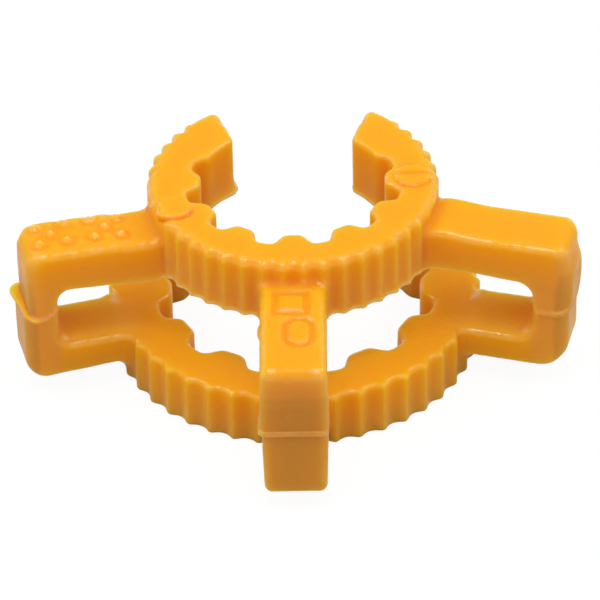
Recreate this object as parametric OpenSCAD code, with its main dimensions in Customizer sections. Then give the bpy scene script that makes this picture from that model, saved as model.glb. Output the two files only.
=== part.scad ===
// Ground glass joint clip: two open gripping rings joined by three slotted legs,
// moulded in one piece. Millimetres, +Z up. The origin is on the rings' common axis
// at the underside of the lower ring. The front leg points to -Y, the mouth to +Y.

/* [Rings] */
// Radius at which the upper ring's teeth grip the inner joint's tube
upper_grip_r = 6.8; // [6.5:0.05:7.25]
// Radius at which the lower ring's teeth grip the outer joint
lower_grip_r = 9.05; // [8.75:0.05:9.5]
// Wall of the upper ring from the teeth's ends to the ribbed outside
upper_wall = 3.9; // [3.5:0.05:4]
// Wall of the lower ring from the teeth's ends to the ribbed outside
lower_wall = 4.3; // [3.8:0.05:4.3]
// Height of the upper ring
upper_ring_h = 4.7; // [4.2:0.05:5]
// Height of the lower ring
lower_ring_h = 4.35; // [4.2:0.05:5]
// Clear height between the rings, where the joint's flange sits
ring_gap = 5; // [4.8:0.1:5.6]
// Rounding of the upper ring's outer edges
upper_edge_r = 0.75; // [0.4:0.05:0.9]
// Rounding of the lower ring's outer edges
lower_edge_r = 0.5; // [0.3:0.05:0.7]
// Rounding of the teeth's edges
inner_edge_r = 0.4; // [0.2:0.05:0.5]

/* [Teeth] */
// Angle from one gripping tooth to the next, degrees
tooth_pitch = 30; // [30]
// Teeth on each side of the middle tooth
teeth_each_side = 4; // [4]
// Depth of the gaps between the upper ring's teeth
upper_gap_depth = 1.15; // [1:0.05:1.3]
// Depth of the gaps between the lower ring's teeth
lower_gap_depth = 1.3; // [1.1:0.05:1.5]
// Half the angle that a tooth's gripping face covers, degrees
tooth_face_half = 5.4; // [5:0.1:6]
// Half the angle that a tooth covers at its root, degrees
tooth_root_half = 10.4; // [10:0.1:11]

/* [Ribs] */
// Angle from one outer rib to the next, degrees
rib_pitch = 8; // [8]
// Depth of the grooves between the upper ring's ribs
upper_rib_depth = 0.34; // [0.25:0.01:0.42]
// Depth of the grooves between the lower ring's ribs
lower_rib_depth = 0.36; // [0.25:0.01:0.42]
// Share of the pitch that each groove takes
rib_groove_share = 0.86; // [0.75:0.01:0.9]

/* [Mouth] */
// Half the mouth's width at the upper ring's inner corners
mouth_half = 4.45; // [4.4:0.05:4.7]
// Angle at which the mouth's faces flare outwards, degrees
mouth_flare = 17; // [12:1:20]
// Height lost by each last tooth gap, next to the mouth
last_gap_loss = 0.35; // [0.2:0.05:0.5]
// Rounding of the prongs' tips on the upper ring
prong_tip_r = 0.75; // [0.6:0.05:0.9]
// How far the prongs' tips lie inside the ribbed outside
tip_relief = 0.05; // [0.05:0.05:0.4]
// Angle over which the outside runs down to a prong's tip, degrees
tip_blend = 9; // [7:1:12]

/* [Legs] */
// Distance from the axis to the front leg's and the left leg's outer end
leg_reach = 20.5; // [20:0.1:21.5]
// How much further the right leg reaches
right_extra = 0.1; // [0:0.05:0.2]
// Width of a leg at the parting line
leg_w = 4.76; // [4.4:0.02:5]
// Loss of width on each side from the parting line to a leg's outer face
leg_draft = 0.14; // [0.05:0.01:0.2]
// Distance of the legs' top and bottom from the rings' outer faces
leg_inset = 1.65; // [1.4:0.05:1.9]
// Thickness of the wall that joins the rings at a leg's end
leg_end_t = 2.3; // [2:0.1:2.8]
// Angle from the front leg to each side leg, degrees
side_leg_angle = 75; // [70:0.5:80]
// Rounding of a leg's long edges
leg_edge_r = 0.5; // [0.3:0.05:0.6]
// Rounding of a leg's upright end edges
leg_end_r = 0.6; // [0.3:0.05:0.8]
// Rounding of a leg's upper outer corner
leg_top_r = 0.9; // [0.6:0.1:1.2]
// Rounding of the left leg's lower outer corner
left_bottom_r = 1.5; // [0.8:0.1:2.2]
// Rounding of the front leg's lower outer corner
front_bottom_r = 0.8; // [0.8:0.1:2.2]
// Rounding of the right leg's lower outer corner
right_bottom_r = 2.1; // [0.8:0.1:2.2]
// How much lower the front leg's underside lies than the left leg's
front_drop = 0.15; // [0:0.05:0.4]
// How much higher the right leg's underside lies than the left leg's
right_lift = 0.3; // [0:0.05:0.4]
// Rounding of the slot's inner corners
slot_corner_r = 0.9; // [0.5:0.1:1.2]
// Draft of a side leg's slot: how much its floor and roof close in at the back
slot_draft = 0.4; // [0.1:0.05:0.5]

/* [Moulding marks] */
// How far the ridge stands out at the parting line
ridge_out = 0.14; // [0.08:0.02:0.2]
// How far the heavier flash on the left leg's end stands out
flash_out = 0.5; // [0.2:0.05:0.6]
// Height of the ridge at the parting line
ridge_h = 0.3; // [0.2:0.05:0.4]
// Rounding of the ridge's corners
ridge_corner_r = 0.4; // [0.2:0.05:0.6]
// How far the pin marks stand above the upper ring
pin_mark_h = 0.2; // [0.08:0.01:0.2]
// Radius of the pin mark on the left of the upper ring
left_pin_r = 1.1; // [0.8:0.05:1.2]
// Radius of the pin mark on the right of the upper ring
right_pin_r = 1.25; // [0.8:0.05:1.3]
// Radius of each pip on the left leg
pip_r = 0.38; // [0.3:0.02:0.45]
// Distance between neighbouring pips along and across the left leg
pip_step = 1; // [0.9:0.05:1.1]
// Distance from the axis to the first group of pips
first_pips_at = 13.9; // [13:0.1:14]
// Distance between the two groups of pips
pip_groups_apart = 4; // [3.5:0.1:4.2]
// How far the pips lie behind the left leg's middle
pips_back = 0.4; // [0:0.1:0.6]
// Depth of the plain marks sunk in the front leg
sunk_mark_d = 0.12; // [0.08:0.02:0.2]
// Width of the sunk marks' lines
sunk_line_w = 0.5; // [0.4:0.05:0.6]
// Side of the square sunk mark
square_mark_w = 2.7; // [2.2:0.1:3]
// Distance from the axis to the middle of the square mark
square_mark_at = 12.5; // [12.4:0.1:12.7]
// Radius of the oval sunk mark's round ends
oval_mark_r = 1.2; // [1:0.1:1.3]
// Distance between the centres of the oval mark's round ends
oval_mark_l = 1.1; // [0.8:0.1:1.3]
// Distance from the axis to the middle of the oval mark
oval_mark_at = 15.75; // [15.7:0.05:16.2]
// How far the gate's round pad stands out of the right leg's end
gate_pad_out = 0.28; // [0.1:0.02:0.3]
// Radius of the gate's pad
gate_pad_r = 1.9; // [1.2:0.1:2]
// Height of the gate's pad above the legs' middle
gate_pad_up = 1.4; // [1:0.1:1.5]

/* [Hidden] */
$fn = 64;
eps = 0.02;
sunk_in = 0.3;
root_wall = 0.8;
upper_outer_r = upper_grip_r + upper_wall;
lower_outer_r = lower_grip_r + lower_wall;
upper_root_r = upper_grip_r + upper_gap_depth;
lower_root_r = lower_grip_r + lower_gap_depth;
gap_top_z = lower_ring_h + ring_gap;
total_h = gap_top_z + upper_ring_h;
leg_z0 = leg_inset;
leg_z1 = total_h - leg_inset;
right_reach = leg_reach + right_extra;
bar_l = lower_outer_r - upper_root_r;
part_z = total_h / 2;
slot_end = leg_reach - leg_end_t;
half_w = leg_w / 2;
lower_scale = lower_grip_r / upper_grip_r;
body_orange = [0.98, 0.67, 0.12];

// Rectangle whose inner and outer corners have their own roundings.
module soft_rect(x0, x1, z0, z1, r_in, r_out) {
    translate([x0 + r_in, z0]) square([x1 - r_out - x0 - r_in, z1 - z0]);
    translate([x0, z0 + r_in]) square([2 * r_in, z1 - z0 - 2 * r_in]);
    translate([x1 - 2 * r_out, z0 + r_out]) square([2 * r_out, z1 - z0 - 2 * r_out]);
    for (z = [z0 + r_in, z1 - r_in]) translate([x0 + r_in, z]) circle(r_in);
    for (z = [z0 + r_out, z1 - r_out]) translate([x1 - r_out, z]) circle(r_out);
}

function polar(r, a) = [r * sin(a), -r * cos(a)];

// Outline of the space between two neighbouring teeth, centred on the angle mid.
module tooth_gap(grip_r, root_r, mid) {
    face = tooth_pitch / 2 - tooth_face_half;
    root = tooth_pitch / 2 - tooth_root_half;
    soft = 1.6;
    intersection() {
        circle(root_r);
        polygon([
            polar(grip_r - 1, mid - face - soft),
            polar(grip_r, mid - face),
            polar(grip_r + 0.25, mid - face + soft),
            polar(root_r + 0.2, mid - root),
            polar(root_r + 1, mid),
            polar(root_r + 0.2, mid + root),
            polar(grip_r + 0.25, mid + face - soft),
            polar(grip_r, mid + face),
            polar(grip_r - 1, mid + face + soft)
        ]);
    }
}

// Outline of the mouth with the prongs' rounded tips left standing.
module mouth(grip_r, outer_r, k) {
    start = [mouth_half * k, sqrt(grip_r * grip_r - mouth_half * mouth_half * k * k) - 0.15];
    along = [sin(mouth_flare), cos(mouth_flare)];
    side = [cos(mouth_flare), -sin(mouth_flare)];
    tip_r = prong_tip_r * k;
    foot = start + tip_r * side;
    reach = outer_r - tip_relief * k - tip_r;
    step = -foot * along + sqrt((foot * along) * (foot * along) - foot * foot + reach * reach);
    tip = foot + step * along;
    inner = tip - 0.97 * tip_r * side;
    shoulder = tip * (reach + 0.97 * tip_r) / reach;
    back = atan2(tip[0], tip[1]) + tip_blend;
    outer = (outer_r + 0.4) * [sin(back), cos(back)];
    difference() {
        polygon([
            [-start[0], start[1]], start, inner, tip, shoulder, outer,
            [outer_r, outer_r * 1.5], [-outer_r, outer_r * 1.5], [-outer[0], outer[1]],
            [-shoulder[0], shoulder[1]], [-tip[0], tip[1]], [-inner[0], inner[1]]
        ]);
        for (s = [-1, 1]) translate([s * tip[0], tip[1]]) circle(tip_r);
    }
}

// Open ring with teeth inside and ribs outside, standing on z = 0.
module grip_ring(grip_r, root_r, outer_r, h, k, edge_r, rib_depth) {
    groove_w = outer_r * rib_pitch * rib_groove_share * PI / 180;
    groove_r = (groove_w * groove_w / 4 + rib_depth * rib_depth) / (2 * rib_depth);
    intersection() {
        rotate_extrude() soft_rect(grip_r, outer_r, 0, h, inner_edge_r, edge_r);
        translate([0, 0, -1]) linear_extrude(h + 2) difference() {
            circle(outer_r + 1);
            circle(grip_r - 0.6);
            mouth(grip_r, outer_r, k);
            for (i = [1 - teeth_each_side : teeth_each_side - 2])
                tooth_gap(grip_r, root_r, (i + 0.5) * tooth_pitch);
            for (i = [-teeth_each_side, teeth_each_side - 1])
                tooth_gap(grip_r, root_r - last_gap_loss, (i + 0.5) * tooth_pitch);
            for (i = [-16 : 16])
                translate(polar(outer_r - rib_depth + groove_r, i * rib_pitch)) circle(groove_r);
        }
    }
}

// Cross-section of a leg, widest at the parting line.
module leg_section(low) {
    top_w = half_w - leg_draft;
    intersection() {
        polygon([
            [-top_w, low], [top_w, low], [half_w, part_z],
            [top_w, leg_z1], [-top_w, leg_z1], [-half_w, part_z]
        ]);
        soft_rect(-half_w, half_w, low, leg_z1, leg_edge_r, leg_edge_r);
    }
}

// Leg seen from its side, with the slot through it.
module leg_side(reach, low, low_r) {
    end_from = lower_outer_r - leg_edge_r;
    difference() {
        union() {
            translate([upper_root_r + root_wall, gap_top_z]) square([bar_l, leg_z1 - gap_top_z]);
            translate([lower_root_r + root_wall, low]) square([bar_l, lower_ring_h - low]);
            translate([end_from, low]) square([reach - low_r - end_from, part_z - low]);
            translate([end_from, part_z]) square([reach - leg_top_r - end_from, leg_z1 - part_z]);
            translate([slot_end, low + low_r])
                square([reach - slot_end, leg_z1 - low - low_r - leg_top_r]);
            translate([reach - low_r, low + low_r]) circle(low_r);
            translate([reach - leg_top_r, leg_z1 - leg_top_r]) circle(leg_top_r);
        }
        soft_rect(0, slot_end, lower_ring_h, gap_top_z, eps, slot_corner_r);
    }
}

// Leg along +X, between the rings' walls and its own outer end, with its underside at low.
module leg(reach, low, low_r) {
    intersection() {
        rotate([90, 0, 90]) linear_extrude(reach + 1) leg_section(low);
        translate([0, leg_w, 0]) rotate([90, 0, 0])
            linear_extrude(2 * leg_w) leg_side(reach, low, low_r);
        linear_extrude(total_h) soft_rect(0, reach, -half_w, half_w, leg_end_r, leg_end_r);
    }
}

// Wedges that narrow a side leg's slot towards its back.
module slot_wedges() {
    from = lower_outer_r - lower_rib_depth - sunk_in;
    for (m = [[lower_ring_h, 1], [gap_top_z, -1]])
        translate([from, 0, m[0]]) rotate([90, 0, 90])
            linear_extrude(slot_end + sunk_in - from)
                polygon([
                    [half_w - leg_edge_r, -sunk_in * m[1]], [half_w - leg_edge_r, 0],
                    [-half_w + leg_draft, slot_draft * m[1]], [-half_w + leg_draft, -sunk_in * m[1]]
                ]);
}

// Thin ridge that the mould's parting line leaves round a leg's end, standing out to reach.
module leg_ridge(reach) {
    translate([slot_end + sunk_in, 0, part_z - ridge_h / 2]) linear_extrude(ridge_h)
        soft_rect(
            0, reach - slot_end - sunk_in, -half_w - ridge_out, half_w + ridge_out,
            ridge_corner_r, ridge_corner_r
        );
}

// Low round marks of the ejector pins on the upper ring.
module pin_marks() {
    mark_at = (upper_root_r + upper_outer_r) / 2;
    for (m = [[-69, left_pin_r], [90.5, right_pin_r]])
        rotate([0, 0, m[0]]) translate([0, m[1] - mark_at - upper_wall / 4, total_h - upper_edge_r])
            cylinder(upper_edge_r + pin_mark_h, r = m[1]);
}

// Two plain groups of five pips on the left leg's top.
module pips() {
    for (g = [first_pips_at, first_pips_at + pip_groups_apart])
        for (p = [[0, 0], [-1, -1], [-1, 1], [1, -1], [1, 1]])
            translate([g + p[0] * pip_step, p[1] * pip_step - pips_back, leg_z1 - pip_r / 2])
                sphere(pip_r);
}

// Upright oval bar: two cylinders and the block between them.
module oval_bar(r, h) {
    for (x = [-oval_mark_l / 2, oval_mark_l / 2]) translate([x, 0, 0]) cylinder(h, r = r);
    translate([-oval_mark_l / 2, -r, 0]) cube([oval_mark_l, 2 * r, h]);
}

// Plain square and oval rings sunk in the front leg's top.
module sunk_marks() {
    inner_w = square_mark_w - 2 * sunk_line_w;
    translate([0, 0, leg_z1 - sunk_mark_d]) {
        translate([square_mark_at, 0, sunk_mark_d]) difference() {
            cube([square_mark_w, square_mark_w, 2 * sunk_mark_d], center = true);
            cube([inner_w, inner_w, 4 * sunk_mark_d], center = true);
        }
        translate([oval_mark_at, 0, 0]) difference() {
            oval_bar(oval_mark_r, 2 * sunk_mark_d);
            translate([0, 0, -sunk_mark_d]) oval_bar(oval_mark_r - sunk_line_w, 4 * sunk_mark_d);
        }
    }
}

// Round pad left by the gate on the right leg's end.
module gate_pad() {
    translate([right_reach - leg_edge_r, 0, part_z + gate_pad_up]) rotate([0, 90, 0])
        cylinder(leg_edge_r + gate_pad_out, r = gate_pad_r);
}

module joint_clip() {
    color(body_orange) {
        grip_ring(
            lower_grip_r, lower_root_r, lower_outer_r, lower_ring_h,
            lower_scale, lower_edge_r, lower_rib_depth
        );
        translate([0, 0, gap_top_z])
            grip_ring(
                upper_grip_r, upper_root_r, upper_outer_r, upper_ring_h,
                1, upper_edge_r, upper_rib_depth
            );
        pin_marks();
        rotate([0, 0, -90]) {
            difference() {
                leg(leg_reach, leg_z0 - front_drop, front_bottom_r);
                sunk_marks();
            }
            leg_ridge(leg_reach + ridge_out);
        }
        rotate([0, 0, -90 - side_leg_angle]) {
            leg(leg_reach, leg_z0, left_bottom_r);
            slot_wedges();
            leg_ridge(leg_reach + flash_out);
            pips();
        }
        rotate([0, 0, side_leg_angle - 90]) {
            leg(right_reach, leg_z0 + right_lift, right_bottom_r);
            gate_pad();
            mirror([0, 1, 0]) slot_wedges();
            leg_ridge(right_reach + ridge_out);
        }
    }
}

joint_clip();
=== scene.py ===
"""Ground glass joint clip: the one moulded piece, its finish, the white sweep and the studio."""
import logging
import math
from dataclasses import dataclass, fields
from enum import Enum

import bpy
from mathutils import Matrix, Vector


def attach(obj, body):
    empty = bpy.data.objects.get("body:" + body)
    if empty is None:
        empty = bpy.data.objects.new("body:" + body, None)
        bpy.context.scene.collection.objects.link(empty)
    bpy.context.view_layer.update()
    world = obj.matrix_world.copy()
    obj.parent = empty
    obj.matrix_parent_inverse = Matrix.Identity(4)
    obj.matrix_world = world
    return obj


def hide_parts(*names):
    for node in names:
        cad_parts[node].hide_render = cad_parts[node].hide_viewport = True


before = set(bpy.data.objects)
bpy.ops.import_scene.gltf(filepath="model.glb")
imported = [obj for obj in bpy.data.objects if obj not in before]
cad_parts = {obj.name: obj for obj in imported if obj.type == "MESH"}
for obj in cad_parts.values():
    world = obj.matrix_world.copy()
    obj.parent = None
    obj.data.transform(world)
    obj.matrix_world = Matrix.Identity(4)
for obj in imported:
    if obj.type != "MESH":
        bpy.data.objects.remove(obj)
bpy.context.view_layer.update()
LOG = logging.getLogger("joint_clip")
DEGREE = math.pi / 180.0


class Number:
    """A number socket in a node tree, on which Python's operators add Math nodes."""

    def __init__(self, net: "Net", socket: bpy.types.NodeSocket) -> None:
        """Wrap a socket.

        Args:
            net: The tree that the socket is in.
            socket: The output socket that carries the number.
        """
        self.net = net
        self.socket = socket

    def __add__(self, other: "Number | float") -> "Number":
        """Return the sum."""
        return self.net.math("ADD", self, other)

    __radd__ = __add__

    def __sub__(self, other: "Number | float") -> "Number":
        """Return the difference."""
        return self.net.math("SUBTRACT", self, other)

    def __rsub__(self, other: float) -> "Number":
        """Return the difference with the number on the right."""
        return self.net.math("SUBTRACT", other, self)

    def __mul__(self, other: "Number | float") -> "Number":
        """Return the product."""
        return self.net.math("MULTIPLY", self, other)

    __rmul__ = __mul__

    def __truediv__(self, other: "Number | float") -> "Number":
        """Return the quotient."""
        return self.net.math("DIVIDE", self, other)

    def __neg__(self) -> "Number":
        """Return the number with its sign turned."""
        return self.net.math("MULTIPLY", self, -1.0)

    def __abs__(self) -> "Number":
        """Return the number without its sign."""
        return self.net.math("ABSOLUTE", self)

    def __gt__(self, other: "Number | float") -> "Number":
        """Return 1 where the number is greater, otherwise 0."""
        return self.net.math("GREATER_THAN", self, other)

    def __lt__(self, other: "Number | float") -> "Number":
        """Return 1 where the number is smaller, otherwise 0."""
        return self.net.math("LESS_THAN", self, other)


Term = Number | float
ByLeg = tuple[float, float, float]


class Net:
    """One node tree, with the calls that the clip's trees are made of."""

    def __init__(self, tree: bpy.types.NodeTree) -> None:
        """Take over a tree.

        Args:
            tree: A geometry or shader tree.
        """
        self.tree = tree

    def node(self, kind: str, settings: dict | None = None, inputs: dict | None = None) -> bpy.types.Node:
        """Add a node.

        Args:
            kind: The node's type.
            settings: Its properties, set first. The key stops takes a ramp's (place, colour) pairs.
            inputs: Values or links by socket name or number.

        Returns:
            The new node.
        """
        node = self.tree.nodes.new(kind)
        for name, value in (settings or {}).items():
            if name == "stops":
                ramp = node.color_ramp.elements
                while len(ramp) < len(value):
                    ramp.new(1.0)
                for stop, (place, colour) in zip(ramp, value):
                    stop.position, stop.color = place, colour
            else:
                setattr(node, name, value)
        for key, value in (inputs or {}).items():
            if isinstance(value, Number):
                self.tree.links.new(value.socket, node.inputs[key])
            elif isinstance(value, bpy.types.NodeSocket):
                self.tree.links.new(value, node.inputs[key])
            else:
                node.inputs[key].default_value = value
        return node

    def math(self, operation: str, *terms: Term) -> Number:
        """Add a Math node.

        Args:
            operation: What it works out.
            terms: Its values or links, in order.

        Returns:
            Its result.
        """
        node = self.node("ShaderNodeMath", {"operation": operation}, dict(enumerate(terms)))
        return Number(self, node.outputs[0])

    def vector(self, operation: str, *terms: object) -> bpy.types.NodeSocket:
        """Add a Vector Math node and return its vector."""
        node = self.node("ShaderNodeVectorMath", {"operation": operation}, dict(enumerate(terms)))
        return node.outputs["Vector"]

    def scaled(self, vector: bpy.types.NodeSocket, factor: Term) -> bpy.types.NodeSocket:
        """Return a vector times a number."""
        inputs = {"Vector": vector, "Scale": factor}
        return self.node("ShaderNodeVectorMath", {"operation": "SCALE"}, inputs).outputs["Vector"]

    def parts(self, vector: bpy.types.NodeSocket) -> tuple[Number, Number, Number]:
        """Return a vector's x, y and z."""
        node = self.node("ShaderNodeSeparateXYZ", None, {0: vector})
        return tuple(Number(self, socket) for socket in node.outputs)

    def joined(self, x: Term, y: Term, z: Term) -> bpy.types.NodeSocket:
        """Return the vector of three numbers."""
        return self.node("ShaderNodeCombineXYZ", None, {0: x, 1: y, 2: z}).outputs[0]

    def least(self, a: Term, b: Term) -> Number:
        """Return the smaller of two numbers."""
        return self.math("MINIMUM", a, b)

    def most(self, a: Term, b: Term) -> Number:
        """Return the greater of two numbers."""
        return self.math("MAXIMUM", a, b)

    def length(self, a: Term, b: Term) -> Number:
        """Return the length of the hypotenuse over two sides."""
        return self.math("SQRT", a * a + b * b)

    def soft_least(self, a: Term, b: Term, reach: Term) -> Number:
        """Return the smaller of two numbers, blended where they are within reach of each other."""
        return self.math("SMOOTH_MIN", a, b, reach)

    def soft_most(self, a: Term, b: Term, reach: Term) -> Number:
        """Return the greater of two numbers, blended where they are within reach of each other."""
        return self.math("SMOOTH_MAX", a, b, reach)

    def rounded(self, a: Number, b: Number, radius: Term) -> Number:
        """Return the distance to what two distances share, with a true radius on the edge between them."""
        u, v = self.most(a + radius, 0.0), self.most(b + radius, 0.0)
        return self.length(u, v) - radius + self.least(self.most(a + radius, b + radius), 0.0)

    def filleted(self, a: Number, b: Number, radius: Term) -> Number:
        """Return the distance to two forms together, with a true radius in the corner between them."""
        u, v = self.most(radius - a, 0.0), self.most(radius - b, 0.0)
        return self.most(self.least(a, b), radius) - self.length(u, v)

    def mixed(self, share: Number, a: Number, b: Number) -> Number:
        """Return a where the share is 0 and b where it is 1."""
        return a + (b - a) * share

    def blend(self, share: Term, first: object, second: object) -> bpy.types.NodeSocket:
        """Return the first colour where the share is 0 and the second where it is 1."""
        first, second = ((*c, 1.0) if isinstance(c, tuple) else c for c in (first, second))
        inputs = {"Factor": share, 6: first, 7: second}
        return self.node("ShaderNodeMix", {"data_type": "RGBA"}, inputs).outputs[2]

    def ramp(self, value: Term, start: Term, end: Term, low: Term = 0.0, high: Term = 1.0) -> Number:
        """Return low before start and high after end, with a smooth step between."""
        settings = {"interpolation_type": "SMOOTHSTEP"}
        inputs = {"Value": value, "From Min": start, "From Max": end, "To Min": low, "To Max": high}
        return Number(self, self.node("ShaderNodeMapRange", settings, inputs).outputs[0])


@dataclass
class ClipSizes:
    """The moulding's sizes in millimetres and degrees, which become the named inputs of its tree."""

    upper_grip: float = 6.67
    lower_grip: float = 8.94
    upper_outer: float = 10.52
    lower_outer: float = 13.4
    upper_gap_depth: float = 1.15
    lower_gap_depth: float = 1.3
    lower_ring_h: float = 4.35
    gap_top: float = 9.35
    height: float = 14.05
    upper_edge: float = 0.7
    lower_edge: float = 0.36
    tooth_edge: float = 0.36
    tooth_pitch: float = 30.0
    gap_face_half: float = 9.6
    gap_root_half: float = 4.6
    rib_pitch: float = 8.0
    front_rib_depth: float = 0.27
    upper_rib_depth: float = 0.4
    lower_rib_depth: float = 0.36
    mouth_half: float = 4.39
    mouth_flare: float = 17.0
    prong_tip: float = 0.72
    tip_relief: float = 0.15
    leg_draft: float = 0.14
    slot_end: float = 18.2
    slot_draft: float = 0.4
    side_leg_angle: float = 75.0
    mark_depth: float = 0.18
    unevenness: float = 0.08
    skin: float = 0.03


class Ring(Enum):
    """The two rings, by the names that their sizes begin with."""

    UPPER = "upper"
    LOWER = "lower"


@dataclass(frozen=True)
class HalfLegs:
    """The three legs' halves on one side of the parting line: each size for the left, front and right leg."""

    ring: Ring
    way: float
    reach: ByLeg
    half_w: ByLeg
    shift: ByLeg
    face: ByLeg
    corner: ByLeg
    edge: ByLeg
    end_edge: ByLeg
    ridge: ByLeg


UPPER_LEGS = HalfLegs(
    ring=Ring.UPPER,
    way=1.0,
    reach=(20.2, 20.42, 20.56),
    half_w=(2.38, 2.4, 2.4),
    shift=(0.0, -0.12, 0.0),
    face=(12.42, 12.38, 12.55),
    corner=(1.5, 0.9, 1.0),
    edge=(0.55, 0.5, 0.5),
    end_edge=(0.95, 0.5, 0.9),
    ridge=(0.0, 0.1, 0.12),
)
LOWER_LEGS = HalfLegs(
    ring=Ring.LOWER,
    way=-1.0,
    reach=(20.58, 20.38, 20.66),
    half_w=(2.36, 2.31, 2.32),
    shift=(0.0, -0.06, 0.0),
    face=(1.5, 1.44, 1.85),
    corner=(1.6, 0.8, 2.2),
    edge=(0.7, 0.55, 0.7),
    end_edge=(0.9, 0.5, 0.95),
    ridge=(0.04, 0.0, 0.0),
)


@dataclass(frozen=True)
class Details:
    """The small marks, flash, fillets and slopes, in millimetres, with places along and across a leg."""

    ring_shift: float = 0.06
    ring_lean: float = 0.2
    ring_flash: float = 0.12
    prong_foot: float = 0.28
    tooth_flank_blend: float = 0.5
    tooth_blend: float = 0.4
    rib_blend: float = 0.22
    fillet: ByLeg = (0.35, 0.6, 0.35)
    low_fillet: ByLeg = (0.65, 0.1, 0.3)
    slot_corner: ByLeg = (1.1, 0.9, 1.3)
    slot_band: tuple[float, float] = (5.0, 8.0)
    right_slot_step: float = 0.09
    left_roof_slope: float = 0.0756
    left_top_slope: float = 0.033
    left_foot_slope: float = 0.045
    half_leg_h: float = 5.4
    half_overlap: float = 0.14
    half_edge: float = 0.06
    root_wall: float = 0.8
    left_pin: tuple[float, float] = (-8.5, -3.42)
    right_pin: tuple[float, float] = (8.6, 0.1)
    pin_h: float = 0.15
    pin_moat: float = 0.14
    pin_line_y: float = 0.35
    pips_at: tuple[float, float] = (15.9, 0.4)
    pip_groups_half: float = 2.0
    pip_step: float = 1.0
    pip_h: float = 0.34
    pip_moat: float = 0.06
    square_at: tuple[float, float] = (12.5, -0.25)
    square_half: float = 1.1
    oval_at: tuple[float, float] = (15.75, 0.3)
    oval_straight: float = 0.55
    oval_r: float = 0.95
    gate_across: float = 0.1
    gate_z: float = 8.7
    gate_h: float = 0.36
    gate_dip: float = 0.06
    seam_z: float = 7.04
    seam_along: float = 19.6
    seam_bow: float = 0.42
    seam_bead: float = 0.13
    post_bead: float = 0.14
    fin_out: float = 0.36
    scrap_along: float = 12.3
    scrap_z: float = 9.6
    scrap_out: float = 0.16


@dataclass
class Spot:
    """One place, in the measures that the rule is written in."""

    x: Number
    y: Number
    z: Number
    left: Number
    right: Number
    along: Number
    across: Number

    @property
    def front(self) -> Number:
        """Return 1 by the front leg, otherwise 0."""
        return 1.0 - self.left - self.right

    def by_leg(self, values: ByLeg) -> Term:
        """Return the value for the leg that the spot is at.

        Args:
            values: The left, front and right leg's values.

        Returns:
            A plain number where all three are the same, otherwise one that depends on the spot.
        """
        left, front, right = values
        if left == front == right:
            return front
        return self.left * (left - front) + self.right * (right - front) + front


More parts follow.
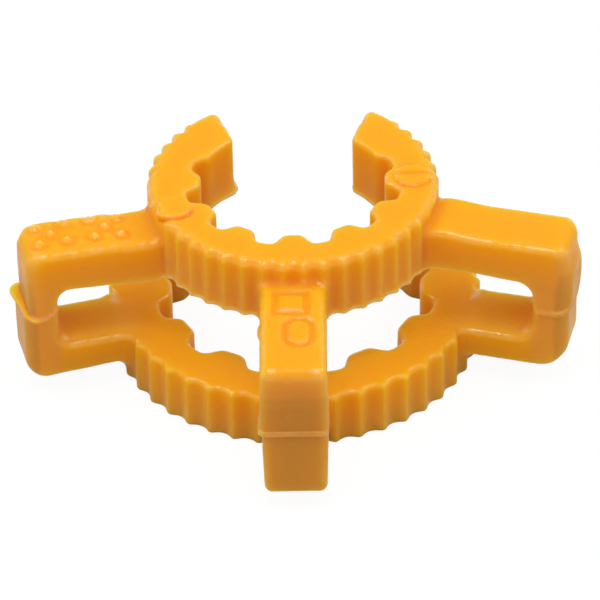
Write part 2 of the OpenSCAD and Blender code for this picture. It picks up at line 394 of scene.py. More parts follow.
@dataclass
class ClipForm:
    """The rule of the clip's surface: a tree that gives each point's distance from it."""

    sizes: ClipSizes
    details: Details = Details()
    net: Net | None = None
    size: dict | None = None

    def tree(self) -> bpy.types.NodeTree:
        """Build the tree.

        Returns:
            A group that takes a place in millimetres and the sizes, and gives the distance, the painted
            shade around its marks there, how far the place is on a lip of flash and how near it is
            to a leg's end.
        """
        tree = bpy.data.node_groups.new("clip_distance", "GeometryNodeTree")
        tree.interface.new_socket("Place", in_out="INPUT", socket_type="NodeSocketVector")
        for one in fields(self.sizes):
            tree.interface.new_socket(one.name, in_out="INPUT", socket_type="NodeSocketFloat")
        for name in ("Distance", "Stain", "Lip", "End"):
            tree.interface.new_socket(name, in_out="OUTPUT", socket_type="NodeSocketFloat")
        self.net = net = Net(tree)
        start = net.node("NodeGroupInput")
        self.size = {one.name: Number(net, start.outputs[one.name]) for one in fields(self.sizes)}
        s, d = self.size, self.details
        place = start.outputs["Place"]
        at = self.spot(place)
        parting = s["height"] * 0.5
        upper = net.most(self.upper_ring(at), parting - at.z)
        lower = net.most(self.lower_ring(at), at.z - parting)
        legs = net.least(self.half_leg(at, UPPER_LEGS), self.half_leg(at, LOWER_LEGS))
        low = net.ramp(at.z, *d.slot_band, 1.0, 0.0)
        fillet = at.by_leg(d.fillet) + at.by_leg(d.low_fillet) * low
        body = net.filleted(net.least(upper, lower), legs, fillet)
        body = net.rounded(body, -self.slot(at), self.slot_edge(at))
        ripple = net.node("ShaderNodeTexNoise", None, {"Vector": place, "Scale": 0.45, "Detail": 2.0})
        body = body + (Number(net, ripple.outputs[0]) - 0.5) * s["unevenness"] - s["skin"]
        end = net.ramp(at.along, 19.4, 20.2)
        given = {"Distance": body, "Stain": self.stain(at), "Lip": self.lip(at), "End": end}
        net.node("NodeGroupOutput", None, given)
        return tree

    def spot(self, place: bpy.types.NodeSocket) -> Spot:
        """Measure a place.

        Args:
            place: The place in millimetres.

        Returns:
            The place in the rule's measures.
        """
        net, s = self.net, self.size
        x, y, z = net.parts(place)
        turn = self.turned(x, y)
        left, right = turn < s["side_leg_angle"] * -0.5, turn > s["side_leg_angle"] * 0.5
        side = left + right
        beta = (abs(turn) - s["side_leg_angle"]) * DEGREE
        r = net.length(x, y)
        along = net.mixed(side, -y, r * net.math("COSINE", beta))
        across = net.mixed(side, x, r * net.math("SINE", beta))
        return Spot(x, y, z - self.lift(z, left, right, along), left, right, along, across)

    def lift(self, z: Number, left: Number, right: Number, along: Number) -> Number:
        """Work out how far the side legs' roofs and tops run up or down towards the ring.

        Args:
            z: The place's height.
            left: 1 by the left leg.
            right: 1 by the right leg.
            along: The place's distance along its leg.

        Returns:
            The height by which the surface there is lifted.
        """
        net, d = self.net, self.details
        outer = net.ramp(along, 9.8, 11.2)
        left_roof = 0.09 - (19.5 - along) * d.left_roof_slope
        right_roof = net.ramp(along, 17.0, 13.0, 0.02, 0.25)
        roof = left_roof * left + right_roof * right
        left_top = (along - 16.0) * d.left_top_slope - net.ramp(along, 14.2, 12.2, 0.0, 0.2)
        right_top = net.ramp(along, 14.5, 11.5, 0.0, 0.24)
        top = left_top * left + right_top * right
        lift = roof * net.ramp(z, 5.5, 8.5) * net.ramp(z, 11.3, 10.3)
        lift = lift + top * net.ramp(z, 10.3, 11.3) * net.ramp(z, 14.6, 13.4)
        return lift * outer

    def turned(self, x: Number, y: Number) -> Number:
        """Return the angle of a place from the front leg, in degrees."""
        return self.net.math("ARCTAN2", x, -y) * (1.0 / DEGREE)

    def upper_ring(self, at: Spot) -> Number:
        """Return the upper ring's distance, with its pin marks and the thin flash at its underside."""
        net, s, d = self.net, self.size, self.details
        up = at.z - s["gap_top"]
        lean = net.ramp(at.y, -3.0, 8.0) * net.ramp(at.x, 2.0, 5.0) * d.ring_lean
        flash = net.ramp(up, 0.05, 0.3, d.ring_flash, 0.0)
        low = net.most(1.0 - up / 1.5, 0.0)
        foot = net.ramp(at.y, 2.8, 5.0) * net.ramp(at.x, -3.0, -4.0) * low * low * d.prong_foot
        outline, outside = self.outline(at.x + d.ring_shift + lean, at.y, Ring.UPPER, 1.0)
        outline = outline - flash - foot
        edge = s["tooth_edge"] + (s["upper_edge"] - s["tooth_edge"]) * outside
        return net.rounded(outline, at.z - s["height"] - self.pin_marks(at), edge)

    def pin_marks(self, at: Spot) -> Number:
        """Return how far the two pin marks stand out of the upper ring's top."""
        net, d = self.net, self.details
        left_pin, right_pin = self.off_pin(at, d.left_pin), self.off_pin(at, d.right_pin)
        line = net.ramp(abs(at.y - d.pin_line_y), 0.1, 0.5, 0.3, 1.0)
        marks = net.ramp(left_pin, 1.14, 1.3, d.pin_h, 0.0)
        marks = marks + net.ramp(right_pin, 1.2, 1.4, d.pin_h, 0.0) * line
        moat = net.ramp(abs(left_pin - 1.36), 0.0, 0.16, d.pin_moat, 0.0) * net.ramp(at.y, -3.3, -4.1)
        return marks - moat

    def off_pin(self, at: Spot, pin: tuple[float, float]) -> Number:
        """Measure from a pin mark's middle, seen from above.

        Args:
            at: The place.
            pin: The mark's x and y.

        Returns:
            The distance.
        """
        return self.net.length(at.x - pin[0], at.y - pin[1])

    def lower_ring(self, at: Spot) -> Number:
        """Return the lower ring's distance."""
        s = self.size
        k = self.sizes.lower_grip / self.sizes.upper_grip
        outline, outside = self.outline(at.x, at.y, Ring.LOWER, k)
        edge = s["tooth_edge"] + (s["lower_edge"] - s["tooth_edge"]) * outside
        return self.net.rounded(outline, s["unevenness"] * 0.6 - at.z, edge)

    def outline(self, x: Number, y: Number, ring: Ring, k: float) -> tuple[Number, Number]:
        """Work out a ring's outline seen from above.

        Args:
            x: Distance to the right.
            y: Distance to the back.
            ring: Which ring it is.
            k: The ring's size beside the upper one's.

        Returns:
            The outline's distance, and 1 on its outer side.
        """
        net, s, d = self.net, self.size, self.details
        grip, outer = s[f"{ring.value}_grip"], s[f"{ring.value}_outer"]
        r, a = net.length(x, y), abs(self.turned(x, y))
        if ring is Ring.LOWER:
            wide = net.ramp(x, -1.0, 1.0, 0.36, 0.14)
            outer = outer + net.ramp(a, 76.0, 86.0) * net.ramp(a, 100.0, 120.0, 1.0, 0.0) * wide
            grip = grip + net.ramp(a, 72.0, 86.0) * 0.2
            depth = s["lower_rib_depth"]
            relief = s["tip_relief"] * k + 0.32
        else:
            right_prong = net.ramp(a, 104.0, 122.0) * net.ramp(x, -1.0, 1.0)
            outer = outer + net.ramp(a, 80.0, 110.0) * 0.13 + right_prong * 0.08
            depth = net.ramp(a, 55.0, 90.0, s["front_rib_depth"], s["upper_rib_depth"])
            depth = depth * net.ramp(abs(a - s["side_leg_angle"] - 4.0), 9.0, 24.0, 0.2, 1.0)
            relief = s["tip_relief"] * k
        inner = self.teeth(r, a, grip, s[f"{ring.value}_gap_depth"], k)
        # ribs outside, down to the smooth prongs
        t = abs(net.math("MODULO", a + s["rib_pitch"] * 0.5, s["rib_pitch"]) - s["rib_pitch"] * 0.5)
        t = t / (s["rib_pitch"] * 0.5)
        groove = net.soft_least((1.25 * t * t - 1.0) * depth, 0.0, d.rib_blend)
        plain = net.ramp(a, 131.0, 135.0)
        out = r - outer - groove * (1.0 - plain) + plain * relief
        # the mouth's flared faces
        flare = s["mouth_flare"] * DEGREE
        half = s["mouth_half"] * k
        corner = net.math("SQRT", grip * grip - half * half) - 0.15
        side = (abs(x - 0.05) - half) * net.math("COSINE", flare) - (y - corner) * net.math("SINE", flare)
        mouth = -side - 20.0 * (y < 0.0)
        outline = net.rounded(out, mouth, s["prong_tip"] * k)
        return net.rounded(outline, inner, 0.3 * k), net.ramp(out - inner, -0.5, 0.5)

    def teeth(self, r: Number, a: Number, grip: Number, depth: Number, k: float) -> Number:
        """Work out a ring's inner side, with the gaps between its teeth.

        Args:
            r: Distance from the rings' axis.
            a: Angle from the front leg, in degrees.
            grip: Radius of the teeth's ends.
            depth: Depth of the gaps.
            k: The ring's size beside the upper one's.

        Returns:
            The inner side's distance.
        """
        net, s, d = self.net, self.size, self.details
        root = grip + depth - (a > 90.0) * 0.35
        # the gap between two teeth, folded so that one flank stands for all
        g = abs(net.math("MODULO", a, s["tooth_pitch"]) - s["tooth_pitch"] * 0.5) * DEGREE
        u, v = r * net.math("COSINE", g), r * net.math("SINE", g)
        face, foot = s["gap_face_half"] * DEGREE, s["gap_root_half"] * DEGREE
        ax, ay = grip * net.math("COSINE", face), grip * net.math("SINE", face)
        bx, by = root * net.math("COSINE", foot), root * net.math("SINE", foot)
        run = net.length(bx - ax, by - ay)
        flank = ((u - ax) * (ay - by) + (v - ay) * (bx - ax)) / run
        gap = net.soft_most(flank, r - root, d.tooth_flank_blend * k)
        # beyond the last gap the prongs' inner faces are smooth
        gap = gap + (a > 120.0) * 9.0
        inner = grip - net.ramp(a, 115.0, 136.0, 0.0, 0.12) - r
        return net.soft_most(inner, -gap, d.tooth_blend * k)

    def half_leg(self, at: Spot, half: HalfLegs) -> Number:
        """Work out the legs above or below the parting line, without their slots.

        Args:
            at: The place.
            half: The sizes of that half.

        Returns:
            The legs' distance.
        """
        net, s, d = self.net, self.size, self.details
        off = (at.z - s["height"] * 0.5) * half.way
        lip = net.ramp(abs(off), 0.1, 0.28, 1.0, 0.0) * at.by_leg(half.ridge)
        draft = s["leg_draft"] * off / d.half_leg_h
        wide = at.by_leg(half.half_w) - draft + lip * net.ramp(at.across, 1.2, 0.0)
        side = abs(at.across - at.by_leg(half.shift)) - wide
        end = at.along - at.by_leg(half.reach) - lip * net.ramp(at.across * at.right, 0.0, -1.5, 0.0, 1.0)
        end = end - net.ramp(abs(off), 0.06, 0.26, d.post_bead, 0.0) * at.front
        side = side - net.ramp(self.off_seam(at), 0.08, 0.26, d.seam_bead, 0.0) * self.seam_share(at)
        cap = (at.z - at.by_leg(half.face)) * half.way
        if half.ring is Ring.UPPER:
            end = end - self.gate_pad(at)
            cap = cap - self.pips(at) + self.sunk_marks(at)
            side = side - self.side_flash(at)
        else:
            cap = cap + (19.5 - at.along) * at.left * d.left_foot_slope
            fin = net.ramp(abs(off), 0.1, 0.24, 1.0, 0.0) * net.ramp(at.across, -1.2, 1.6)
            end = end - fin * at.left * d.fin_out
        around = net.ramp(end - cap, -0.8, 0.8)
        leg = net.rounded(end, cap, at.by_leg(half.corner))
        leg = net.rounded(leg, side, net.mixed(around, at.by_leg(half.edge), at.by_leg(half.end_edge)))
        leg = net.rounded(leg, -off - d.half_overlap, d.half_edge)
        start = s[f"{half.ring.value}_grip"] + s[f"{half.ring.value}_gap_depth"] + d.root_wall
        return net.most(leg, start - at.along)

    def off_seam(self, at: Spot) -> Number:
        """Return the distance from the moulds' seam, which sags across the left leg's front."""
        d = self.details
        bow = at.along - d.seam_along
        return abs(at.z - d.seam_z - bow * bow * d.seam_bow)

    def seam_share(self, at: Spot) -> Number:
        """Return 1 on the left leg's front beyond its slot, where the seam shows as a bead."""
        return (at.across < 0.0) * at.left * self.net.ramp(at.along, 17.9, 18.5)

    def lip(self, at: Spot) -> Number:
        """Return 1 on the beads of flash that catch the light."""
        net = self.net
        level = abs(at.z - self.size["height"] * 0.5)
        post = net.ramp(level, 0.1, 0.3, 1.0, 0.0) * at.front * (at.along > 20.2)
        bead = net.ramp(self.off_seam(at), 0.1, 0.3, 0.6, 0.0) * self.seam_share(at) * (at.across < -2.2)
        return net.most(post, bead)

    def stain(self, at: Spot) -> Number:
        """Return the painted shade around the pips, in the sunk lines and at the pin marks: 1 is deep orange
        and 2 is brown.
        """
        net, d = self.net, self.details
        leg_top, ring_top = at.z > 12.0, at.z > self.size["height"] - 0.5
        pip = self.off_pips(at)
        pips = net.ramp(pip, 0.35, 1.0, 0.4, 0.0) * net.ramp(pip, 0.1, 0.4) * at.left * leg_top
        line = net.ramp(self.off_marks(at), 0.15, 0.55, 0.32, 0.0) * at.front * leg_top
        left_pin, right_pin = self.off_pin(at, d.left_pin), self.off_pin(at, d.right_pin)
        # painted shadow along the front edges of the pin marks
        arc = net.ramp(abs(left_pin - 1.32), 0.03, 0.14, 1.35, 0.0) * net.ramp(at.y, -3.6, -4.1)
        groove = net.ramp(abs(at.y - d.pin_line_y), 0.1, 0.35, 0.4, 0.0) * (right_pin < 1.25)
        under = net.ramp(abs(right_pin - 1.35), 0.05, 0.3, 0.7, 0.0) * net.ramp(at.y, 0.0, -0.8)
        return pips + line + (arc + groove + under) * ring_top

    def side_flash(self, at: Spot) -> Number:
        """Return how far a scrap of flash stands out of the front leg's left side, along its slot's roof."""
        net, d = self.net, self.details
        off = net.length((at.along - d.scrap_along) / 0.8, (at.z - d.scrap_z) / 0.3)
        return net.ramp(off, 0.3, 1.3, d.scrap_out, 0.0) * (at.across < 0.0) * at.front

    def gate_pad(self, at: Spot) -> Number:
        """Return how far the gate's round pad stands out of the right leg's end."""
        net, d = self.net, self.details
        off = net.length(at.across - d.gate_across, (at.z - d.gate_z) * 0.95)
        return (net.ramp(off, 1.4, 2.8, d.gate_h, 0.0) - net.ramp(off, 1.0, 1.6, d.gate_dip, 0.0)) * at.right

    def pips(self, at: Spot) -> Number:
        """Return how far the two groups of five pips stand out of the left leg's top."""
        net, d = self.net, self.details
        off = self.off_pips(at)
        moat = net.ramp(abs(off - 0.65), 0.0, 0.3, d.pip_moat, 0.0)
        return (net.ramp(off, 0.0, 0.45, d.pip_h, 0.0) - moat) * at.left

    def off_pips(self, at: Spot) -> Number:
        """Return the distance from the nearest pip's middle."""
        net, d = self.net, self.details
        u, v = abs(abs(at.along - d.pips_at[0]) - d.pip_groups_half), abs(at.across - d.pips_at[1])
        return net.least(net.length(u, v), net.length(u - d.pip_step, v - d.pip_step))

    def sunk_marks(self, at: Spot) -> Number:
        """Return the depth of the plain square and oval rings in the front leg's top."""
        line = self.net.ramp(self.off_marks(at), 0.12, 0.38, 1.0, 0.0)
        return line * self.size["mark_depth"] * at.front

    def off_marks(self, at: Spot) -> Number:
        """Return the distance from the middle of the nearest sunk line."""
        net, d = self.net, self.details
        square = net.most(abs(at.across - d.square_at[1]), abs(at.along - d.square_at[0]))
        straight = net.most(abs(at.along - d.oval_at[0]) - d.oval_straight, 0.0)
        oval = net.length(at.across - d.oval_at[1], straight)
        return net.least(abs(square - d.square_half), abs(oval - d.oval_r))

    def slot_edge(self, at: Spot) -> Number:
        """Return the radius of the edges where the space between the rings opens."""
        net, s = self.net, self.size
        upper = net.ramp(at.z, *self.details.slot_band)
        ring = 0.35 - upper * 0.23
        leg = net.ramp(at.along, s["lower_outer"] - 0.6, s["lower_outer"] + 1.0)
        return ring + (0.5 - upper * 0.2 - ring) * leg

    def slot(self, at: Spot) -> Number:
        """Return the distance of the space between the rings, which runs on as each leg's slot."""
        net, s, d = self.net, self.size, self.details
        back = net.ramp(at.across, -2.4, 2.4) * (at.left + at.right)
        beyond = net.ramp(at.along, s["lower_outer"] - 0.8, s["lower_outer"] + 0.4)
        middle = (s["lower_ring_h"] + s["gap_top"]) * 0.5
        tall = (s["gap_top"] - s["lower_ring_h"]) * 0.5 - back * beyond * s["slot_draft"]
        c = at.by_leg(d.slot_corner)
        step = back * beyond * at.right * d.right_slot_step
        qx, qz = at.along - s["slot_end"] + c, abs(at.z - middle - step) - tall + step + c
        round_part = net.length(net.most(qx, 0.0), net.most(qz, 0.0))
        return round_part + net.least(net.most(qx, qz), 0.0) - c


@dataclass
class Moulding:
    """The whole clip, meshed from its rule and drawn exactly onto it."""

    sizes: ClipSizes
    voxel: float = 0.184
    passes: int = 3
    low: tuple[float, float, float] = (-21.0, -21.2, -0.6)
    high: tuple[float, float, float] = (21.0, 12.2, 14.8)
    step: float = 0.02
    normal_step: float = 0.03
    lit_probe_depth: float = 0.6
    lit_probes: tuple = ((0.6, 0.15), (1.3, 0.2), (2.2, 0.25), (3.2, 0.25), (-0.9, 0.15))
    core_depth: float = 1.1
    through_light_probe_height: float = 5.6
    millimetre: float = 0.001

    def tree(self, form: bpy.types.NodeTree, finish: bpy.types.Material) -> bpy.types.NodeTree:
        """Build the modifier's tree: a mesh from a grid, drawn onto the form, with what the finish reads.

        Args:
            form: The group that gives each point's distance.
            finish: The moulding's material.

        Returns:
            The tree, with a named input for each size.
        """
        tree = bpy.data.node_groups.new("joint_clip_moulding", "GeometryNodeTree")
        tree.interface.new_socket("Geometry", in_out="OUTPUT", socket_type="NodeSocketGeometry")
        for one in fields(self.sizes):
            tree.interface.new_socket(one.name, in_out="INPUT", socket_type="NodeSocketFloat")
        net = Net(tree)
        start = net.node("NodeGroupInput")
        given = {one.name: start.outputs[one.name] for one in fields(self.sizes)}

        def distance(place: bpy.types.NodeSocket) -> Number:
            """Return the distance of a place from the clip's surface."""
            node = net.node("GeometryNodeGroup", {"node_tree": form}, {"Place": place, **given})
            return Number(net, node.outputs["Distance"])

        def slope(place: bpy.types.NodeSocket, step: float) -> tuple[Number, bpy.types.NodeSocket]:
            """Return the distance at a place and the direction in which it grows."""
            total, mean = None, None
            for arm in ((1, -1, -1), (-1, -1, 1), (-1, 1, -1), (1, 1, 1)):
                here = distance(net.vector("ADD", place, tuple(step * c for c in arm)))
                push = net.scaled(net.joined(*(float(c) for c in arm)), here)
                total = push if total is None else net.vector("ADD", total, push)
                mean = here * 0.25 if mean is None else mean + here * 0.25
            return mean, net.scaled(total, 1.0 / (4.0 * step))

        place = net.node("GeometryNodeInputPosition").outputs[0]
        extents = Vector(self.high) - Vector(self.low)
        box = {f"Resolution {axis}": round(extent / self.voxel) for axis, extent in zip("XYZ", extents)}
        box |= {"Min": self.low, "Max": self.high}
        solid = net.node(
            "GeometryNodeVolumeCube", None, {"Density": 1.0 - distance(place), "Background": 0.0, **box}
        )
        mesh = net.node(
            "GeometryNodeVolumeToMesh",
            {"resolution_mode": "GRID"},
            {"Volume": solid.outputs[0], "Threshold": 1.0, "Adaptivity": 0.0},
        ).outputs[0]
        for step in range(self.passes):
            if step == 1:
                even = net.node(
                    "GeometryNodeBlurAttribute", {"data_type": "FLOAT_VECTOR"}, {0: place, "Iterations": 1}
                )
                mesh = net.node(
                    "GeometryNodeSetPosition", None, {"Geometry": mesh, "Position": even.outputs[0]}
                ).outputs[0]
            away, grow = slope(place, self.step)
            size = net.node("ShaderNodeVectorMath", {"operation": "LENGTH"}, {0: grow}).outputs["Value"]
            size = net.most(Number(net, size), 0.3)
            move = net.scaled(grow, -away / (size * size))
            mesh = net.node("GeometryNodeSetPosition", None, {"Geometry": mesh, "Offset": move}).outputs[0]
        _, grow = slope(place, self.normal_step)
        outward = net.vector("NORMALIZE", grow)
        rise = net.parts(outward)[2]
        form_here = net.node("GeometryNodeGroup", {"node_tree": form}, {"Place": place, **given})
        stain, lip, end = (Number(net, form_here.outputs[name]) for name in ("Stain", "Lip", "End"))
        # painted light and shade: lighter where the places above and below one under the skin lie in the
        # open, as if light from above glowed through the plastic, darker where they are covered
        inside = net.vector("SUBTRACT", place, net.scaled(outward, self.lit_probe_depth))
        lit_share = 0.0
        for lift, weight in self.lit_probes:
            near = distance(net.vector("ADD", inside, (0.0, 0.0, lift)))
            lit_share = net.ramp(near, -0.35, 0.35) * weight + lit_share
        # painted shade: the legs' upright end walls are darkened
        lit_share = lit_share - end * net.ramp(abs(rise), 0.7, 0.3) * 0.7
        # a rounded edge that looks up, or a lip of flash
        core = distance(net.vector("SUBTRACT", place, net.scaled(outward, self.core_depth)))
        edge = net.ramp(core + self.core_depth, 0.03, 0.22)
        edge = edge * net.ramp(rise, 0.1, 0.45) * net.ramp(rise, 0.985, 0.93)
        edge = net.most(edge, lip)
        # painted light: a slot's floor under the arm above it is lightened, as if light came through the arm
        above = distance(net.vector("ADD", place, (0.0, 0.0, self.through_light_probe_height)))
        x, y, _ = net.parts(place)
        cover = net.ramp(above, 0.1, -0.8) * net.ramp(rise, -0.4, 0.0)
        cover = cover * net.ramp(net.length(x, y), 11.0, 13.5)
        for name, kind, value in (
            ("outward", "FLOAT_VECTOR", outward), ("thinness", "FLOAT", lit_share),
            ("edge", "FLOAT", edge), ("stain", "FLOAT", stain), ("cover", "FLOAT", cover),
        ):
            mesh = net.node(
                "GeometryNodeStoreNamedAttribute",
                {"data_type": kind, "domain": "POINT"},
                {"Geometry": mesh, "Name": name, "Value": value},
            ).outputs[0]
        scale = (self.millimetre,) * 3
        mesh = net.node("GeometryNodeTransform", None, {"Geometry": mesh, "Scale": scale}).outputs[0]
        mesh = net.node("GeometryNodeSetShadeSmooth", None, {"Geometry": mesh}).outputs[0]
        mesh = net.node("GeometryNodeRealizeInstances", None, {"Geometry": mesh}).outputs[0]
        mesh = net.node("GeometryNodeSetMaterial", None, {"Geometry": mesh, "Material": finish}).outputs[0]
        net.node("NodeGroupOutput", None, {"Geometry": mesh})
        return tree

    def build(self, finish: bpy.types.Material) -> bpy.types.Object:
        """Make the moulding as a plain mesh.

        Args:
            finish: The moulding's material.

        Returns:
            The object, at the origin and in metres.
        """
        form = ClipForm(self.sizes).tree()
        tree = self.tree(form, finish)
        seed = bpy.data.objects.new("joint_clip_seed", bpy.data.meshes.new("joint_clip_seed"))
        bpy.context.scene.collection.objects.link(seed)
        modifier = seed.modifiers.new("moulding", "NODES")
        modifier.node_group = tree
        for socket in tree.interface.items_tree:
            if socket.in_out == "INPUT":
                modifier[socket.identifier] = getattr(self.sizes, socket.name)
        depsgraph = bpy.context.evaluated_depsgraph_get()
        mesh = bpy.data.meshes.new_from_object(seed.evaluated_get(depsgraph))
        bpy.data.objects.remove(seed)
        mesh.name = "clip_moulding"
        outward = [Vector(item.vector) for item in mesh.attributes["outward"].data]
        mesh.normals_split_custom_set_from_vertices(outward)
        mesh.attributes.remove(mesh.attributes["outward"])
        piece = bpy.data.objects.new("clip_moulding", mesh)
        bpy.context.scene.collection.objects.link(piece)
        return piece


@dataclass(frozen=True)
class WaxyPlastic:
    """The orange-yellow moulding compound: glossy, slightly waxy and slightly see-through, with light and
    shade painted into its colour.
    """

    painted_lit_colour: tuple[float, float, float] = (0.875, 0.383, 0.002)
    painted_shade_colour: tuple[float, float, float] = (0.79, 0.34, 0.05)
    painted_end_shade_colour: tuple[float, float, float] = (0.63, 0.275, 0.045)
    lit_through_colour: tuple[float, float, float] = (0.93, 0.47, 0.04)
    mark_shade_colour: tuple[float, float, float] = (0.86, 0.27, 0.002)
    speck_and_shadow_colour: tuple[float, float, float] = (0.25, 0.05, 0.01)
    roughness: float = 0.34
    gloss: float = 0.8
    gloss_roughness: float = 0.11
    gloss_ior: float = 1.6
    ior: float = 1.48
    specular: float = 0.04
    glow_radius: tuple[float, float, float] = (1.0, 1.0, 0.6)
    glow_scale: float = 0.003
    peel: float = 0.00004

    def material(self) -> bpy.types.Material:
        """Build the material.

        Returns:
            The finished material.
        """
        material = bpy.data.materials.new("waxy_plastic")
        material.use_nodes = True
        material.node_tree.nodes.clear()
        net = Net(material.node_tree)
        lit_share, edge, stain, cover = (
            Number(net, net.node("ShaderNodeAttribute", {"attribute_name": name}).outputs["Fac"])
            for name in ("thinness", "edge", "stain", "cover")
        )
        place = net.node("ShaderNodeTexCoord").outputs["Object"]
        cloud = self.noise(net, place, 420.0, 3.0)
        lit_share = lit_share + (cloud - 0.5) * 0.3
        # painted light and shade: the lit colour where the place is open above, the shaded colour where it is
        # covered
        tint = net.blend(lit_share, self.painted_shade_colour, self.painted_lit_colour)
        # painted shade on the legs' end walls
        tint = net.blend(net.ramp(lit_share, 0.0, -0.6), tint, self.painted_end_shade_colour)
        # painted light through the arms onto the slot floors
        tint = net.blend(cover, tint, self.lit_through_colour)
        # painted shade around the pips, in the sunk lines and at the pin marks
        tint = net.blend(net.ramp(stain, 0.0, 1.0), tint, self.mark_shade_colour)
        # painted brown shadow at the left pin mark's front edge; the real specks below share this brown
        tint = net.blend(net.ramp(stain, 1.0, 2.0), tint, self.speck_and_shadow_colour)
        cell = net.node("ShaderNodeTexVoronoi", None, {"Vector": place, "Scale": 330.0})
        chosen = net.parts(cell.outputs["Color"])[0] > 0.93
        speck = net.ramp(Number(net, cell.outputs["Distance"]), 0.03, 0.06, 0.75, 0.0) * chosen
        tint = net.blend(speck, tint, self.speck_and_shadow_colour)
        fine = self.noise(net, place, 1700.0, 2.0)
        skin = net.node("ShaderNodeBump", None, {"Height": fine, "Distance": self.peel})
        rough = self.noise(net, place, 900.0, 1.0)
        broken = self.noise(net, place, 2200.0, 2.0)
        shader = net.node(
            "ShaderNodeBsdfPrincipled",
            None,
            {
                "Base Color": tint,
                "Roughness": rough * 0.16 + (self.roughness - 0.08),
                "Coat Weight": edge * net.ramp(broken, 0.3, 0.6) * self.gloss,
                "Coat Roughness": self.gloss_roughness,
                "Coat IOR": self.gloss_ior,
                "Normal": skin.outputs[0],
                "IOR": self.ior,
                "Specular IOR Level": self.specular,
                "Subsurface Weight": 1.0,
                "Subsurface Radius": self.glow_radius,
                "Subsurface Scale": self.glow_scale,
            },
        )
        net.node("ShaderNodeOutputMaterial", None, {"Surface": shader.outputs[0]})
        return material

    def noise(self, net: Net, place: bpy.types.NodeSocket, scale: float, detail: float) -> Number:
        """Add a noise.

        Args:
            net: The tree.
            place: The place on the moulding.
            scale: Waves in a metre.
            detail: Finer layers that are added.

        Returns:
            The noise, between 0 and 1.
        """
        inputs = {"Vector": place, "Scale": scale, "Detail": detail}
        return Number(net, net.node("ShaderNodeTexNoise", None, inputs).outputs[0])


class Lamp(Enum):
    """The studio's soft boxes: place, aim, size in metres and power in watts."""

    OVERHEAD = ((0.0, -0.13, 0.43), (0.0, 0.0, 0.005), 0.34, 0.59)
    LEFT = ((-0.3, 0.02, 0.3), (0.0, 0.0, 0.005), 0.25, 0.42)
    RIGHT = ((0.3, 0.02, 0.3), (0.0, 0.0, 0.005), 0.25, 0.42)
    SPARK = ((-0.02, -0.12, 0.6), (0.0, 0.0, 0.005), 0.2, 0.38)


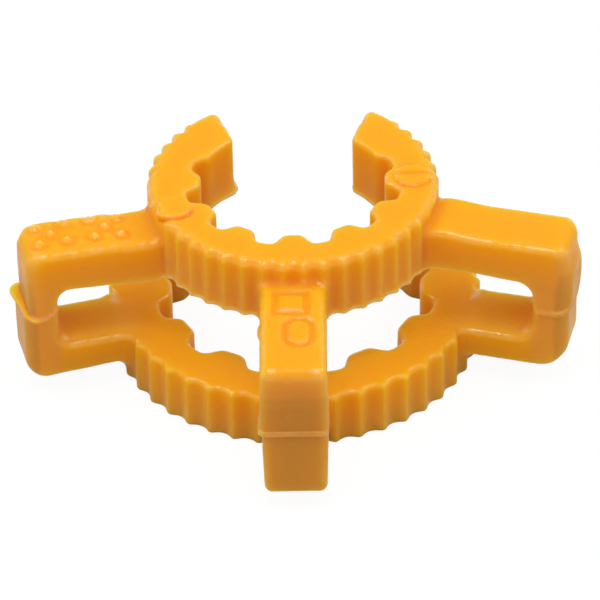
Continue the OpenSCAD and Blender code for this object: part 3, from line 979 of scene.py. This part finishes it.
@dataclass
class Studio:
    """The white sweep under the clip, the soft boxes and the camera."""

    distance: float = 0.2987
    elevation: float = 37.296
    azimuth: float = 0.551
    roll: float = -1.141
    lens: float = 244.488
    sensor: float = 36.0
    shift_x: float = 0.0072667
    shift_y: float = -0.0363417
    target: tuple[float, float, float] = (0.0, 0.0, 0.005)
    floor_half: float = 3.0
    paper: float = 0.64
    paper_glow: float = 1.05
    paper_glow_share: float = 0.9
    room: float = 0.48

    def camera(self) -> None:
        """Place the camera and make it the scene's."""
        a, e, t = (math.radians(v) for v in (self.azimuth, self.elevation, self.roll))
        back = Vector((math.sin(a) * math.cos(e), -math.cos(a) * math.cos(e), math.sin(e)))
        right = Vector((math.cos(a), math.sin(a), 0.0))
        up = back.cross(right)
        right, up = math.cos(t) * right + math.sin(t) * up, math.cos(t) * up - math.sin(t) * right
        data = bpy.data.cameras.new("camera")
        data.sensor_width, data.lens = self.sensor, self.lens
        data.shift_x, data.shift_y = self.shift_x, self.shift_y
        data.clip_start, data.clip_end = 0.01, 10.0
        camera = bpy.data.objects.new("camera", data)
        turn = Matrix((right, up, back)).transposed().to_4x4()
        camera.matrix_world = Matrix.Translation(Vector(self.target) + back * self.distance) @ turn
        bpy.context.scene.collection.objects.link(camera)
        bpy.context.scene.camera = camera

    def lamps(self) -> None:
        """Hang the soft boxes."""
        for lamp in Lamp:
            place, aim, size, power = lamp.value
            data = bpy.data.lights.new(lamp.name.lower(), "AREA")
            data.shape, data.size, data.energy = "DISK", size, power
            light = bpy.data.objects.new(lamp.name.lower(), data)
            turn = (Vector(place) - Vector(aim)).to_track_quat("Z", "Y").to_matrix().to_4x4()
            light.matrix_world = Matrix.Translation(Vector(place)) @ turn
            bpy.context.scene.collection.objects.link(light)

    def sweep(self) -> None:
        """Lay the white floor, which keeps the clip's soft shadow."""
        mesh = bpy.data.meshes.new("floor")
        w = self.floor_half
        mesh.from_pydata([(-w, -w, 0.0), (w, -w, 0.0), (w, w, 0.0), (-w, w, 0.0)], [], [(0, 1, 2, 3)])
        material = bpy.data.materials.new("white_sweep")
        material.use_nodes = True
        material.node_tree.nodes.clear()
        net = Net(material.node_tree)
        paper = net.node("ShaderNodeBsdfDiffuse", None, {"Color": (*(self.paper,) * 3, 1.0)})
        white = {"Color": (1.0, 1.0, 1.0, 1.0), "Strength": self.paper_glow}
        glow = net.node("ShaderNodeEmission", None, white)
        share = self.seen(net) * self.paper_glow_share
        mix = net.node("ShaderNodeMixShader", None, {0: share, 1: paper.outputs[0], 2: glow.outputs[0]})
        net.node("ShaderNodeOutputMaterial", None, {"Surface": mix.outputs[0]})
        mesh.materials.append(material)
        floor = bpy.data.objects.new("floor", mesh)
        bpy.context.scene.collection.objects.link(floor)

    def seen(self, net: Net) -> Number:
        """Return 1 for the rays that show a surface as such, and 0 for those that only light others."""
        rays = net.node("ShaderNodeLightPath")
        seen = Number(net, rays.outputs["Is Camera Ray"]) + Number(net, rays.outputs["Is Glossy Ray"])
        return net.least(seen + Number(net, rays.outputs["Is Transmission Ray"]), 1.0)

    def world(self) -> None:
        """Light the room evenly, with a white backdrop."""
        world = bpy.data.worlds.new("room")
        world.use_nodes = True
        world.node_tree.nodes.clear()
        net = Net(world.node_tree)
        strength = self.room + self.seen(net) * (1.0 - self.room)
        glow = net.node("ShaderNodeBackground", None, {"Color": (1.0, 1.0, 1.0, 1.0), "Strength": strength})
        net.node("ShaderNodeOutputWorld", None, {"Surface": glow.outputs[0]})
        bpy.context.scene.world = world

    def build(self) -> None:
        """Set up the whole studio."""
        bpy.context.scene.view_settings.view_transform = "Standard"
        self.camera()
        self.lamps()
        self.sweep()
        self.world()


def main() -> None:
    """Build the clip and its studio."""
    logging.basicConfig(level=logging.INFO, format="%(name)s: %(message)s")
    Studio().build()
    piece = Moulding(ClipSizes()).build(WaxyPlastic().material())
    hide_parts("joint_clip")
    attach(piece, "root")
    LOG.info("%s: %d faces", piece.name, len(piece.data.polygons))


if __name__ == "__main__":
    main()
